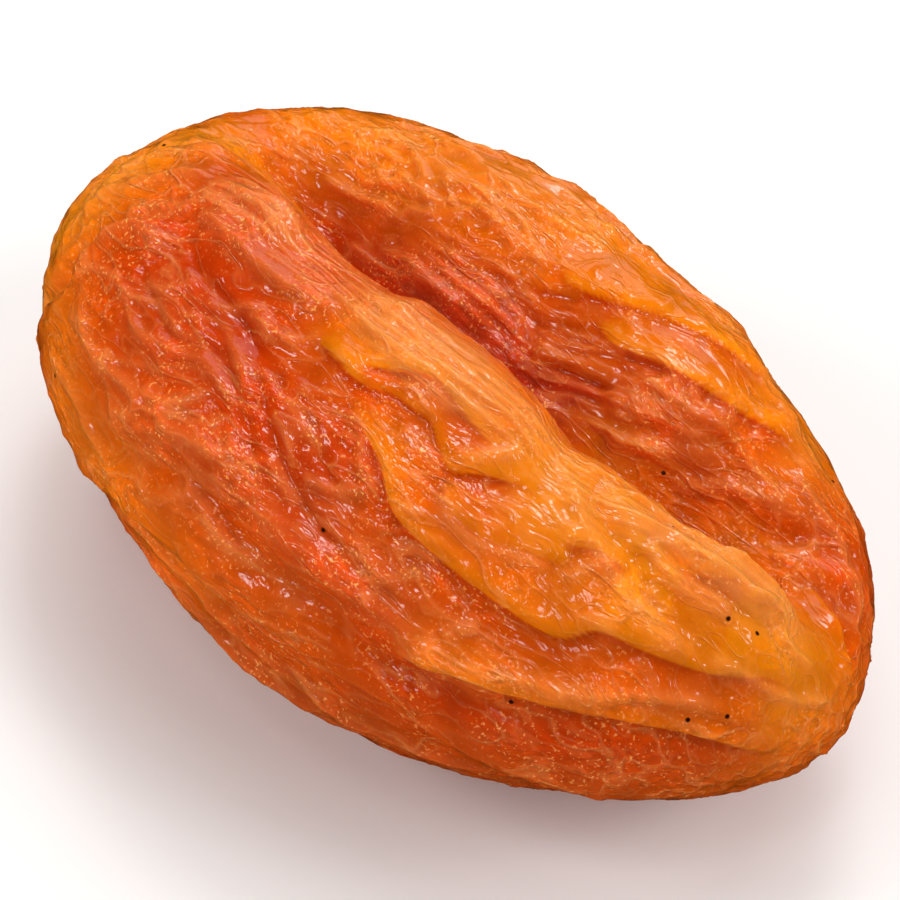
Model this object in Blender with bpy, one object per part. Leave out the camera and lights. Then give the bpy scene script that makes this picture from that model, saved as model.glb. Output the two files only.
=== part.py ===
"""A dried, pitted apricot lying on its belly, as one solid.

The fruit is modelled as a leathery cushion: a long rounded body whose top has
sunk into a groove where the stone was taken out, with the skin shrunk into
folds over it.  +X runs along the fruit, the two lips of the groove lie towards
-Y (near) and +Y (far), +Z is up, and the origin is under the middle of the
belly, on the surface that the fruit rests on.

A place on the skin is given as (along, around): along runs from -1 at one tip
to +1 at the other, and around is an angle in degrees about the length: 0 is
the far side, 90 the top, 180 the near side and 270 the belly.
"""

import math
import random

import bmesh
import bpy
import numpy as np
from mathutils import Vector, noise

MM = 0.001

# Driving dimensions, in millimetres.
HALF_LENGTH = 21.0
HALF_WIDTH = 12.3
HALF_HEIGHT = 9.2
SHOULDER = 0.14             # share by which the body is fuller between middle and tip
GROOVE_DEPTH = 6.0
GROOVE_CENTRE = 0.07        # along
GROOVE_REACH = 0.95         # along, from the centre to where the groove runs out
NEAR_WALL = 1.9             # how far the steep near wall spreads sideways
REST_CUT = 0.15             # height of belly pressed flat by the surface below
BELLY_CALM = 3.0            # no folds this near the middle of the belly,
BELLY_FADE = 7.0            # and full ones this much further out
BELLY_SLIMNESS = 0.55       # how much longer the calm patch is than wide

# Sideways place of the groove's floor and spread of its gentle far wall, by along.
FLOOR_LINE = [(-1.0, 2.6), (-0.8, 3.4), (-0.5, 3.2), (-0.2, 1.9), (0.13, 1.9),
              (0.35, 1.1), (0.6, 1.8), (0.8, 2.2), (1.0, 1.2)]
FAR_WALL = [(-1.0, 2.0), (-0.6, 3.6), (0.0, 4.8), (0.6, 4.4), (1.0, 2.5)]

# Broad swells and hollows: along, around, reach (share of the radius), rise in mm.
SWELLS = [
    (0.75, 215, 0.40, -0.9), (0.40, 20, 0.45, -0.6), (-0.55, 30, 0.45, 0.5),
    (-0.92, 80, 0.35, -0.5), (-0.80, 170, 0.40, -0.3), (0.10, 200, 0.25, 0.35),
    (-0.40, 195, 0.25, -0.3), (0.93, 10, 0.25, -0.35), (0.60, 250, 0.35, 0.3),
]

GRID_CUTS = 28              # cuts per cube edge
TOP_CROWDING = 0.38         # draws the grid's rows together towards the groove
CROWDING_ANGLE = 80.0       # degrees around where the rows lie closest
FINEST_FOLD = 0.85          # narrowest fold that this grid can hold
LINE_STEP = 0.25            # spacing of the points that trace a fold
FADE = 0.16                 # share of a fold's length over which each end dies away

CREASE, RIDGE, STEP = "crease", "ridge", "step"

# The main folds: kind, half-width, rise, side, and places it runs through.  A step's
# side is +1 where the skin left of the line's direction lies over the skin right of it.
FOLDS = [
    # the long double step below the near lip
    (STEP, 0.8, 0.75, 1, [(-0.13, 112), (-0.04, 113), (0.04, 114), (0.11, 112), (0.16, 112),
                          (0.20, 112), (0.25, 115), (0.29, 117), (0.34, 114), (0.44, 110)]),
    (STEP, 0.9, 0.85, 1, [(0.00, 117), (0.09, 120), (0.14, 122), (0.18, 124), (0.26, 130),
                          (0.37, 132), (0.49, 133), (0.61, 133), (0.66, 127), (0.74, 125),
                          (0.83, 121), (0.90, 110), (0.95, 104)]),
    (STEP, 0.6, 0.40, 1, [(0.29, 117), (0.33, 123), (0.41, 124), (0.48, 122), (0.58, 118)]),
    (STEP, 0.6, 0.45, 1, [(0.00, 112), (0.07, 109), (0.16, 106), (0.26, 108), (0.33, 109)]),
    (STEP, 0.7, 0.50, 1, [(0.43, 100), (0.49, 102), (0.58, 106), (0.68, 112), (0.76, 115),
                          (0.87, 113)]),
    # the cap over the left tip, with the notch it makes in the outline
    (STEP, 0.9, 0.80, -1, [(-0.80, 172), (-0.77, 159), (-0.71, 144), (-0.69, 130),
                           (-0.66, 121), (-0.57, 112), (-0.49, 110)]),
    (CREASE, 0.7, 0.55, 0, [(-0.84, 180), (-0.78, 163), (-0.73, 149), (-0.69, 136)]),
    # the near flank
    (CREASE, 0.7, 0.30, 0, [(-0.49, 109), (-0.43, 115), (-0.36, 117), (-0.23, 119),
                            (-0.09, 124), (0.02, 127), (0.12, 133), (0.22, 137)]),
    (CREASE, 0.7, 0.30, 0, [(-0.57, 123), (-0.44, 127), (-0.36, 130), (-0.24, 127),
                            (-0.14, 131), (-0.05, 138), (0.05, 147)]),
    (CREASE, 0.7, 0.30, 0, [(-0.26, 118), (-0.17, 123), (-0.06, 131), (0.07, 139),
                            (0.20, 143), (0.34, 145)]),
    (RIDGE, 0.8, 0.35, 0, [(-0.52, 104), (-0.46, 106), (-0.24, 107), (-0.10, 108)]),
    (RIDGE, 0.8, 0.40, 0, [(-0.42, 146), (-0.31, 146), (-0.15, 142), (-0.03, 144),
                           (0.11, 147), (0.29, 148)]),
    (CREASE, 0.7, 0.35, 0, [(-0.44, 160), (-0.31, 158), (-0.12, 151), (0.04, 156),
                            (0.18, 155), (0.33, 157), (0.50, 158)]),
    (RIDGE, 0.8, 0.40, 0, [(0.03, 148), (0.17, 147), (0.36, 149), (0.48, 152), (0.62, 152)]),
    # the lower edge of the near lobe and the belly's shoulder below it
    (STEP, 0.9, 0.70, 1, [(0.41, 151), (0.55, 155), (0.62, 154), (0.71, 151), (0.83, 148),
                          (0.90, 145), (0.96, 148)]),
    (STEP, 0.6, 0.35, 1, [(0.61, 150), (0.71, 145), (0.78, 137), (0.87, 134), (0.94, 131)]),
    (STEP, 1.0, 0.75, 1, [(-0.40, 177), (-0.25, 173), (0.00, 172), (0.24, 171), (0.42, 171),
                          (0.56, 177), (0.72, 184), (0.85, 194), (0.93, 204)]),
    (STEP, 0.9, 0.60, 1, [(-0.72, 168), (-0.58, 172), (-0.44, 178), (-0.29, 171),
                          (-0.13, 168), (0.03, 170)]),
    # the far slope of the groove and the far lobe
    (STEP, 0.8, 0.55, 1, [(0.00, 56), (0.06, 58), (0.14, 55), (0.23, 51), (0.31, 47),
                          (0.40, 41), (0.48, 35)]),
    (STEP, 0.8, 0.60, 1, [(0.13, 60), (0.21, 62), (0.30, 60), (0.39, 57), (0.47, 53),
                          (0.54, 46), (0.61, 40)]),
    (STEP, 0.6, 0.35, 1, [(-0.12, 64), (0.02, 66), (0.09, 65), (0.15, 62)]),
    (STEP, 0.6, 0.40, 1, [(0.08, 74), (0.15, 71), (0.20, 70), (0.27, 69)]),
    (RIDGE, 0.7, 0.40, 0, [(-0.30, 70), (-0.15, 72), (-0.03, 70)]),
    (RIDGE, 0.7, 0.40, 0, [(0.31, 78), (0.38, 74), (0.45, 69), (0.52, 61)]),
    (RIDGE, 0.7, 0.40, 0, [(0.25, 71), (0.36, 66), (0.44, 62), (0.50, 52)]),
    (RIDGE, 0.6, 0.30, 0, [(-0.42, 39), (-0.28, 44), (-0.16, 46)]),
    (CREASE, 0.7, 0.35, 0, [(0.62, 68), (0.72, 60), (0.80, 46), (0.85, 30)]),
    (CREASE, 0.7, 0.35, 0, [(0.76, 70), (0.85, 60), (0.91, 42), (0.94, 22)]),
    # the pinched skin over the left end of the groove
    (STEP, 0.7, 0.55, -1, [(-0.60, 98), (-0.52, 95), (-0.42, 94), (-0.30, 95)]),
    (CREASE, 0.7, 0.40, 0, [(-0.88, 96), (-0.78, 90), (-0.68, 80), (-0.62, 66)]),
]

# Folds that follow the length over the sides that have no named ones.
SIDE_FOLDS = 15
SIDE_FOLD_SEED = 21
SIDE_FOLD_FIRST = 196.0     # degrees around of the first of them
SIDE_FOLD_SPAN = 190.0      # and how far round the last one lies

# Skin pattern: wave length along, waves around, and height in mm.
SKIN_WAVES = [(5.5, 2.6, 0.30), (2.6, 5.0, 0.16)]


def ease(value):
    """Smooth 0 to 1 ramp, held level outside that range."""
    level = np.clip(value, 0.0, 1.0)
    return level * level * (3.0 - 2.0 * level)


def through(table, value):
    """Smooth curve through the table's (place, size) pairs, read at each value."""
    places, sizes = (np.array(column) for column in zip(*table))
    slopes = np.gradient(sizes, places)
    left = np.clip(np.searchsorted(places, value) - 1, 0, len(places) - 2)
    run = places[left + 1] - places[left]
    t = np.clip((value - places[left]) / run, 0.0, 1.0)
    start = (2 * t ** 3 - 3 * t ** 2 + 1) * sizes[left] + (t ** 3 - 2 * t ** 2 + t) * run * slopes[left]
    end = (3 * t ** 2 - 2 * t ** 3) * sizes[left + 1] + (t ** 3 - t ** 2) * run * slopes[left + 1]
    return start + end


def direction(along, around):
    """Unit direction from the fruit's middle to a place on the skin."""
    angle = np.radians(around)
    radius = np.sqrt(np.maximum(0.0, 1.0 - np.square(along)))
    return np.stack([along + 0.0 * angle, radius * np.cos(angle), radius * np.sin(angle)], axis=-1)


def groove(along, sideways):
    """How far the top has sunk: steep towards the near lip, gentle towards the far one."""
    depth = GROOVE_DEPTH * ease((1.05 - np.abs(along - GROOVE_CENTRE) / GROOVE_REACH) / 0.55)
    off = sideways - through(FLOOR_LINE, along)
    spread = np.where(off < 0.0, NEAR_WALL, through(FAR_WALL, along))
    return depth * np.exp(-(np.abs(off) / spread) ** 1.7)


def body(unit):
    """The unfolded fruit, in mm with its middle at the origin, for unit directions."""
    along, side, up = unit[..., 0], unit[..., 1], unit[..., 2]
    full = 1.0 + SHOULDER * (along ** 2 - along ** 4)
    place = np.stack([HALF_LENGTH * along, HALF_WIDTH * side * full,
                      HALF_HEIGHT * up * full], axis=-1)
    for at, around, reach, rise in SWELLS:
        near = ((unit - direction(np.array(at), float(around))) ** 2).sum(axis=-1)
        place = place + (rise * np.exp(-near / reach ** 2))[..., None] * unit
    place[..., 2] -= groove(along, place[..., 1]) * ease(up / 0.35)
    return place


def trace(places):
    """Evenly spaced points in mm on the unfolded skin, smoothly through the places."""
    along, around = (np.array(column, float) for column in zip(*places))
    knots = body(direction(along, around))
    knots = np.vstack([2 * knots[0] - knots[1], knots, 2 * knots[-1] - knots[-2]])
    line = []
    for a, b, c, d in zip(knots, knots[1:], knots[2:], knots[3:]):
        count = max(2, int(np.linalg.norm(c - b) / LINE_STEP))
        t = np.linspace(0.0, 1.0, count, endpoint=False)[:, None]
        line.append(0.5 * (2 * b + (c - a) * t + (2 * a - 5 * b + 4 * c - d) * t ** 2
                           + (3 * b - a - 3 * c + d) * t ** 3))
    return np.vstack(line + [knots[-2:-1]])


def measure(line, skin, normals):
    """Signed distance of each skin point from the line, and its share of the line's length."""
    reach = np.linalg.norm(skin[:, None, :] - line[None, :, :], axis=2)
    nearest = reach.argmin(axis=1)
    tangent = np.gradient(line, axis=0)
    tangent /= np.linalg.norm(tangent, axis=1)[:, None]
    across = np.einsum("ij,ij->i", skin - line[nearest], np.cross(normals, tangent[nearest]))
    distance = np.where(across < 0.0, -1.0, 1.0) * reach[np.arange(len(skin)), nearest]
    return distance, nearest / (len(line) - 1.0)


def profile(kind, distance, width, rise, side):
    """Height of a fold's cross-section at a signed distance from its line."""
    if kind == RIDGE:
        return rise * np.exp(-(np.abs(distance) / width) ** 1.6)
    if kind == CREASE:
        beside = np.exp(-((np.abs(distance) - 1.8 * width) / width) ** 2)
        return rise * (0.3 * beside - np.exp(-(distance / width) ** 2))
    over = side * distance
    edge = 0.5 + 0.5 * np.tanh(over / (0.65 * width))
    upper = edge * np.exp(-np.maximum(over, 0.0) / (3.5 * width))
    lower = (1.0 - edge) * np.exp(-np.maximum(-over, 0.0) / (2.0 * width))
    return rise * (upper - 0.45 * lower)


def fold_height(fold, skin, normals):
    """How far one fold lifts or lowers each point of the skin."""
    kind, width, rise, side, places = fold
    line = trace(places)
    width = max(width, FINEST_FOLD)
    margin = 12.0 * width
    close = ((skin > line.min(axis=0) - margin) & (skin < line.max(axis=0) + margin)).all(axis=1)
    distance, share = measure(line, skin[close], normals[close])
    strength = ease(share / FADE) * ease((1.0 - share) / FADE)
    height = np.zeros(len(skin))
    height[close] = strength * profile(kind, distance, width, rise, side)
    return height


def side_folds():
    """Wandering folds along the length, spaced round the belly and the far side."""
    draw = random.Random(SIDE_FOLD_SEED)
    folds = []
    for number in range(SIDE_FOLDS):
        around = SIDE_FOLD_FIRST + SIDE_FOLD_SPAN * number / (SIDE_FOLDS - 1) + draw.uniform(-4, 4)
        start = draw.uniform(-0.95, -0.35)
        length = draw.uniform(0.7, 1.2)
        places = []
        for stage in range(6):
            around += draw.uniform(-5.0, 5.0)
            places.append((min(start + length * stage / 5, 0.96), around))
        folds.append((draw.choice((CREASE, STEP, RIDGE)), draw.uniform(0.7, 1.0),
                      draw.uniform(0.30, 0.55), draw.choice((-1, 1)), places))
    return folds


def skin_pattern(unit):
    """Small shrinkage waves drawn out along the fruit, meeting at its tips."""
    height = np.zeros(len(unit))
    for number, (wave, turns, rise) in enumerate(SKIN_WAVES):
        for index, (along, side, up) in enumerate(unit):
            spot = Vector((along * HALF_LENGTH / wave, side * turns, up * turns + 7.0 * number))
            height[index] += rise * (0.5 - 2.0 * abs(noise.noise(spot)))
    return height


def belly_strength(unit, skin):
    """Share of the folds that is kept: none in the middle of the belly, where skin is pressed."""
    out = np.hypot(skin[:, 0] * BELLY_SLIMNESS, skin[:, 1])
    return np.where(unit[:, 2] < 0.0, ease((out - BELLY_CALM) / BELLY_FADE), 1.0)


def crowd(unit):
    """Turns directions round the length so that rows of the grid crowd into the groove."""
    radius = np.hypot(unit[:, 1], unit[:, 2])
    angle = np.arctan2(unit[:, 2], unit[:, 1])
    angle = angle - TOP_CROWDING * np.sin(angle - math.radians(CROWDING_ANGLE))
    return np.stack([unit[:, 0], radius * np.cos(angle), radius * np.sin(angle)], axis=-1)


def cube_directions(bm):
    """Unit directions of a gridded cube's corners, spread evenly over the sphere."""
    corner = np.array([vert.co for vert in bm.verts])
    square = corner ** 2
    others = np.roll(square, 1, axis=1), np.roll(square, 2, axis=1)
    unit = corner * np.sqrt(1.0 - others[0] / 2 - others[1] / 2 + others[0] * others[1] / 3)
    return crowd(unit / np.linalg.norm(unit, axis=1)[:, None])


def place_skin(bm, points):
    """Moves the mesh's corners to the given points in mm and refreshes its normals."""
    for vert, point in zip(bm.verts, points):
        vert.co = point * MM
    bm.normal_update()


def press_belly(bm):
    """Cuts the belly flat where the fruit rests, and stands the fruit on the origin."""
    lowest = min(vert.co.z for vert in bm.verts)
    bmesh.ops.translate(bm, verts=bm.verts, vec=(0.0, 0.0, -lowest - REST_CUT * MM))
    cut = bmesh.ops.bisect_plane(bm, geom=bm.verts[:] + bm.edges[:] + bm.faces[:], dist=1e-7,
                                 plane_co=(0, 0, 0), plane_no=(0, 0, -1), clear_outer=True)
    rim = [item for item in cut["geom_cut"] if isinstance(item, bmesh.types.BMEdge)]
    bmesh.ops.contextual_create(bm, geom=rim)
    bmesh.ops.remove_doubles(bm, verts=bm.verts, dist=0.02 * MM)


def make_fruit():
    """The whole fruit as one closed mesh."""
    bm = bmesh.new()
    bmesh.ops.create_cube(bm, size=2.0)
    bmesh.ops.subdivide_edges(bm, edges=bm.edges, cuts=GRID_CUTS, use_grid_fill=True)
    unit = cube_directions(bm)
    skin = body(unit)
    place_skin(bm, skin)
    normals = np.array([vert.normal for vert in bm.verts])

    height = skin_pattern(unit)
    for fold in FOLDS + side_folds():
        height += fold_height(fold, skin, normals)
    height *= belly_strength(unit, skin)
    place_skin(bm, skin + normals * height[:, None])

    press_belly(bm)
    bmesh.ops.recalc_face_normals(bm, faces=bm.faces)
    mesh = bpy.data.meshes.new("apricot")
    bm.to_mesh(mesh)
    bm.free()
    mesh.shade_smooth()
    return bpy.data.objects.new("apricot", mesh)


def dried_flesh():
    """Glossy translucent orange flesh under its own thin skin."""
    material = bpy.data.materials.new("dried_apricot_flesh")
    material.use_nodes = True
    shader = material.node_tree.nodes["Principled BSDF"]
    shader.inputs["Base Color"].default_value = (0.62, 0.13, 0.01, 1.0)
    shader.inputs["Roughness"].default_value = 0.35
    shader.inputs["Metallic"].default_value = 0.0
    return material


def main():
    for item in list(bpy.data.objects):
        bpy.data.objects.remove(item, do_unlink=True)
    fruit = make_fruit()
    fruit.data.materials.append(dried_flesh())
    collection = bpy.data.collections.new("dried_apricot")
    bpy.context.scene.collection.children.link(collection)
    collection.objects.link(fruit)


main()
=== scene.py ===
"""A whole pitted dried apricot, lying on its belly in soft studio light.

The CAD solid has the fruit's main form and folds.  This scene replaces it with
the same form on a finer grid, with crisp overhanging folds, fine crinkles,
raised veins and a glossy flesh that light glows through.

A place on the skin is given as (along, around): along runs from -1 at one tip
to +1 at the other, and around is an angle in degrees about the length: 0 is
the far side, 90 the top, 180 the near side and 270 the belly.
"""

import logging
import math
import random
from dataclasses import dataclass, field
from enum import Enum
from typing import ClassVar

import bmesh
import bpy
import numpy as np
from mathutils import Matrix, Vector, noise


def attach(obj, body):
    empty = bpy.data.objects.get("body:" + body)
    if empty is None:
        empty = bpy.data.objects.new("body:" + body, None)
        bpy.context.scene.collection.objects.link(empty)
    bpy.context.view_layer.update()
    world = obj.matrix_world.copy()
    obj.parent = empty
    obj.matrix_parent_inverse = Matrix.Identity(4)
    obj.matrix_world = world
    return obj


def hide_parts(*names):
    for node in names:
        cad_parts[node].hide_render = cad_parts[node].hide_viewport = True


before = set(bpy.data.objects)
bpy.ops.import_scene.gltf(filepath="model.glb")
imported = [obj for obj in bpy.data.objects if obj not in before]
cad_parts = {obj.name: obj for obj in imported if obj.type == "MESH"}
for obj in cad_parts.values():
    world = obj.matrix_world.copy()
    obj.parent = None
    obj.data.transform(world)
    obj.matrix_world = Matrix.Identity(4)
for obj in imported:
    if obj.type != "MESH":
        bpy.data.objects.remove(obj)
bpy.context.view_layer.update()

MM = 0.001
STOPS = 6  # places that each randomly drawn line runs through
LOG = logging.getLogger("dried_apricot")

Places = list[tuple[float, float]]


class FoldKind(Enum):
    """What a fold's cross-section looks like."""

    CREASE = "crease"
    RIDGE = "ridge"
    STEP = "step"


class Tint(Enum):
    """What the skin leans to over a stretch: a colour, or how grainy it is.  Amber is
    partly painted glow, red partly painted shade, brown painted shade, and pale partly a
    painted highlight.
    """

    AMBER = "amber"
    RED = "red"
    BROWN = "brown"
    PALE = "pale"
    GRAIN = "grain"
    LIP = "lip"


CREASE, RIDGE, STEP = FoldKind.CREASE, FoldKind.RIDGE, FoldKind.STEP


def ease(value: np.ndarray) -> np.ndarray:
    """Smooth 0 to 1 ramp, held level outside that range."""
    level = np.clip(value, 0.0, 1.0)
    return level * level * (3.0 - 2.0 * level)


def through(table: Places, value: np.ndarray) -> np.ndarray:
    """Reads a smooth curve.

    Args:
        table: (place, size) pairs that the curve runs through, in order of place.
        value: Places at which the curve is read.

    Returns:
        The curve's size at each value.
    """
    places, sizes = (np.array(column, float) for column in zip(*table))
    slopes = np.gradient(sizes, places)
    left = np.clip(np.searchsorted(places, value) - 1, 0, len(places) - 2)
    run = places[left + 1] - places[left]
    t = np.clip((value - places[left]) / run, 0.0, 1.0)
    start = ((2 * t ** 3 - 3 * t ** 2 + 1) * sizes[left]
             + (t ** 3 - 2 * t ** 2 + t) * run * slopes[left])
    end = (3 * t ** 2 - 2 * t ** 3) * sizes[left + 1] + (t ** 3 - t ** 2) * run * slopes[left + 1]
    return start + end


def direction(along: np.ndarray, around: np.ndarray) -> np.ndarray:
    """Finds the way from the fruit's middle to places on the skin.

    Args:
        along: Places along the length, from -1 to 1.
        around: Angles about the length, in degrees.

    Returns:
        A unit direction for each place.
    """
    angle = np.radians(around)
    radius = np.sqrt(np.maximum(0.0, 1.0 - np.square(along)))
    return np.stack([along + 0.0 * angle, radius * np.cos(angle), radius * np.sin(angle)], axis=-1)


@dataclass
class FruitBody:
    """The unfolded fruit: a long rounded cushion with a groove sunk into its top.

    Sizes are in millimetres, with the middle of the fruit at the origin.  The
    groove's run, ramp and reach are shares of the half length.
    """

    half_length: float = 21.0
    half_width: float = 12.3
    half_height: float = 9.2
    shoulder: float = 0.14
    groove_depth: float = 6.0
    groove_centre: float = 0.07
    groove_reach: float = 0.95
    groove_run: float = 1.05
    groove_ramp: float = 0.55
    near_wall: float = 1.9
    wall_power: float = 1.7
    top_ramp: float = 0.35
    floor_line: Places = field(default_factory=lambda: [
        (-1.0, 2.6), (-0.8, 3.4), (-0.5, 3.2), (-0.2, 1.9), (0.13, 1.9),
        (0.35, 1.1), (0.6, 1.8), (0.8, 2.2), (1.0, 1.2)])
    far_wall: Places = field(default_factory=lambda: [
        (-1.0, 2.0), (-0.6, 3.6), (0.0, 4.8), (0.6, 4.4), (1.0, 2.5)])
    # broad swells and hollows: along, around, reach and rise
    swells: list[tuple[float, float, float, float]] = field(default_factory=lambda: [
        (0.75, 215, 0.40, -0.9), (0.40, 20, 0.45, -0.6), (-0.55, 30, 0.45, 0.5),
        (-0.92, 80, 0.35, -0.5), (-0.80, 170, 0.40, -0.3), (0.10, 200, 0.25, 0.35),
        (-0.40, 195, 0.25, -0.3), (0.93, 10, 0.25, -0.35), (0.60, 250, 0.35, 0.3)])

    def groove(self, along: np.ndarray, sideways: np.ndarray) -> np.ndarray:
        """Works out how far the top has sunk: steep at the near lip, gentle at the far one.

        Args:
            along: Places along the length, from -1 to 1.
            sideways: Distances from the middle toward the far side, in millimetres.

        Returns:
            The depth at each place, in millimetres.
        """
        reach = self.groove_run - np.abs(along - self.groove_centre) / self.groove_reach
        depth = self.groove_depth * ease(reach / self.groove_ramp)
        off = sideways - through(self.floor_line, along)
        spread = np.where(off < 0.0, self.near_wall, through(self.far_wall, along))
        return depth * np.exp(-(np.abs(off) / spread) ** self.wall_power)

    def surface(self, unit: np.ndarray) -> np.ndarray:
        """Finds places on the unfolded skin.

        Args:
            unit: Unit directions from the fruit's middle.

        Returns:
            The skin's points in those directions, in millimetres.
        """
        along, side, up = unit[..., 0], unit[..., 1], unit[..., 2]
        full = 1.0 + self.shoulder * (along ** 2 - along ** 4)
        place = np.stack([self.half_length * along, self.half_width * side * full,
                          self.half_height * up * full], axis=-1)
        for at, around, reach, rise in self.swells:
            near = ((unit - direction(np.array(at), np.array(float(around)))) ** 2).sum(axis=-1)
            place = place + (rise * np.exp(-near / reach ** 2))[..., None] * unit
        place[..., 2] -= self.groove(along, place[..., 1]) * ease(up / self.top_ramp)
        return place


@dataclass
class LineReach:
    """Skin points near a line: which they are, how far off, how far along, and the way left."""

    index: np.ndarray
    distance: np.ndarray
    share: np.ndarray
    left: np.ndarray


@dataclass
class SkinLine:
    """A line drawn on the unfolded skin through a few places, in steps of so many millimetres."""

    body: FruitBody
    places: Places
    step: float = 0.12
    batch: ClassVar[int] = 3000

    def points(self) -> np.ndarray:
        """Spaces points evenly along the line.

        Returns:
            The points, in millimetres.
        """
        along, around = (np.array(column, float) for column in zip(*self.places))
        knots = self.body.surface(direction(along, around))
        knots = np.vstack([2 * knots[0] - knots[1], knots, 2 * knots[-1] - knots[-2]])
        line = []
        for a, b, c, d in zip(knots, knots[1:], knots[2:], knots[3:]):
            count = max(2, int(np.linalg.norm(c - b) / self.step))
            t = np.linspace(0.0, 1.0, count, endpoint=False)[:, None]
            line.append(0.5 * (2 * b + (c - a) * t + (2 * a - 5 * b + 4 * c - d) * t ** 2
                               + (3 * b - a - 3 * c + d) * t ** 3))
        return np.vstack(line + [knots[-2:-1]])

    def measure(self, skin: np.ndarray, normals: np.ndarray, margin: float) -> LineReach:
        """Measures the skin near the line.

        Args:
            skin: All points of the unfolded skin.
            normals: Their outward normals.
            margin: How far from the line a point still matters, in millimetres.

        Returns:
            The points that lie near, their signed distances and shares of the length.
        """
        line = self.points()
        low, high = line.min(axis=0) - margin, line.max(axis=0) + margin
        close = np.nonzero(((skin > low) & (skin < high)).all(axis=1))[0]
        tangent = np.gradient(line, axis=0)
        tangent /= np.linalg.norm(tangent, axis=1)[:, None]
        parts = []
        for chunk in np.array_split(close, max(1, len(close) // self.batch)):
            reach = ((skin[chunk, None, :] - line[None, :, :]) ** 2).sum(axis=2)
            nearest = reach.argmin(axis=1)
            keep = reach[np.arange(len(chunk)), nearest] < margin ** 2
            chunk, nearest = chunk[keep], nearest[keep]
            off = skin[chunk] - line[nearest]
            left = np.cross(normals[chunk], tangent[nearest])
            across = np.einsum("ij,ij->i", off, left)
            ahead = np.abs(np.einsum("ij,ij->i", off, tangent[nearest]))
            beyond = np.maximum(ahead - self.step, 0.0)
            distance = np.where(across < 0.0, -1.0, 1.0) * np.hypot(across, beyond)
            parts.append((chunk, distance, nearest / (len(line) - 1.0), left))
        index, distance, share, left = (np.concatenate(column) for column in zip(*parts))
        return LineReach(index, distance, share, left)


@dataclass(frozen=True)
class Fold:
    """A fold of the skin, with sizes in millimetres.

    A step's side is +1 where the skin left of the line's direction lies over the
    skin right of it.  Its lip is how far it hangs over, and its glow how strongly
    light through the edge is painted into the colour: a painted glow, amber, above
    the edge and a painted shade, red, below it.  Frost is how pale and grainy a
    ridge's crest is: partly dried sugar, partly a painted highlight.  Fade is the
    share of the length over which each end runs out.
    """

    kind: FoldKind
    width: float
    rise: float
    places: Places
    side: int = 1
    lip: float = 0.0
    glow: float = 0.0
    frost_and_sheen: float = 0.0
    fade: float = 0.14

    # cross-sections, as shares of the width and the rise
    ridge_power: ClassVar[float] = 1.6
    bank_place: ClassVar[float] = 1.8
    bank_rise: ClassVar[float] = 0.3
    step_back: ClassVar[float] = 3.5
    step_foot: ClassVar[float] = 1.6
    foot_depth: ClassVar[float] = 0.25
    edge_width: ClassVar[float] = 0.3

    def profile(self, distance: np.ndarray) -> np.ndarray:
        """Draws the fold's cross-section.

        Args:
            distance: Signed distances from the fold's line, in millimetres.

        Returns:
            The height at each distance, in millimetres.
        """
        if self.kind is RIDGE:
            return self.rise * np.exp(-(np.abs(distance) / self.width) ** self.ridge_power)
        if self.kind is CREASE:
            bank = (np.abs(distance) - self.bank_place * self.width) / self.width
            furrow = np.exp(-(distance / self.width) ** 2)
            return self.rise * (self.bank_rise * np.exp(-bank ** 2) - furrow)
        over = self.side * distance
        edge = self.edge(distance)
        upper = edge * np.exp(-np.maximum(over, 0.0) / (self.step_back * self.width))
        lower = (1.0 - edge) * np.exp(-np.maximum(-over, 0.0) / (self.step_foot * self.width))
        return self.rise * (upper - self.foot_depth * lower)

    def edge(self, distance: np.ndarray) -> np.ndarray:
        """Share of the way up a step's edge at each signed distance."""
        return 0.5 + 0.5 * np.tanh(self.side * distance / (self.edge_width * self.width))


def ridges(width: float, rise: float, frost_and_sheen: float, lines: list[Places]) -> list[Fold]:
    """Raised lines of one size, one through each list of places."""
    return [Fold(RIDGE, width, rise, places, frost_and_sheen=frost_and_sheen) for places in lines]


@dataclass(frozen=True)
class Crinkles:
    """A family of fine raised lines, drawn at random between two guide lines.

    Width and rise are in millimetres; the shortest and longest lines are shares of
    the guides' length, and wander is how far a line strays at each stop, as a share
    of the way from the first guide to the last.  Sizes is how much smaller or larger
    than the family's size a line may be.
    """

    first: Places
    last: Places
    count: int
    seed: int
    width: float = 0.2
    rise: float = 0.14
    frost_and_sheen: float = 0.5
    shortest: float = 0.25
    longest: float = 0.6
    wander: float = 0.12
    fade: float = 0.3
    sizes: tuple[float, float] = (0.7, 1.3)

    def folds(self) -> list[Fold]:
        """Draws the family, the same lines each time.

        Returns:
            A ridge for each line.
        """
        draw = random.Random(self.seed)
        folds = []
        for number in range(self.count):
            length = draw.uniform(self.shortest, self.longest)
            start = draw.uniform(0.0, 1.0 - length)
            across = (number + draw.uniform(0.1, 0.9)) / self.count
            places = []
            for stop in range(STOPS):
                places.append(self.between(start + length * stop / (STOPS - 1), across))
                across += draw.uniform(-self.wander, self.wander)
            size = draw.uniform(*self.sizes)
            folds.append(Fold(RIDGE, self.width * size, self.rise * size, places,
                              frost_and_sheen=self.frost_and_sheen, fade=self.fade))
        return folds

    def between(self, share: float, across: float) -> tuple[float, float]:
        """Finds a place between the guides.

        Args:
            share: Share of the guides' length.
            across: Share of the way from the first guide to the last.

        Returns:
            The place along and around the fruit.
        """
        ends = []
        for guide in (self.first, self.last):
            stops = np.linspace(0.0, 1.0, len(guide))
            ends.append([float(np.interp(share, stops, column)) for column in zip(*guide)])
        (along_a, around_a), (along_b, around_b) = ends
        return along_a + across * (along_b - along_a), around_a + across * (around_b - around_a)


@dataclass(frozen=True)
class Stroke:
    """A stretch of skin that leans to one tint: reach is in millimetres."""

    tint: Tint
    reach: float
    strength: float
    places: Places


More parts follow.
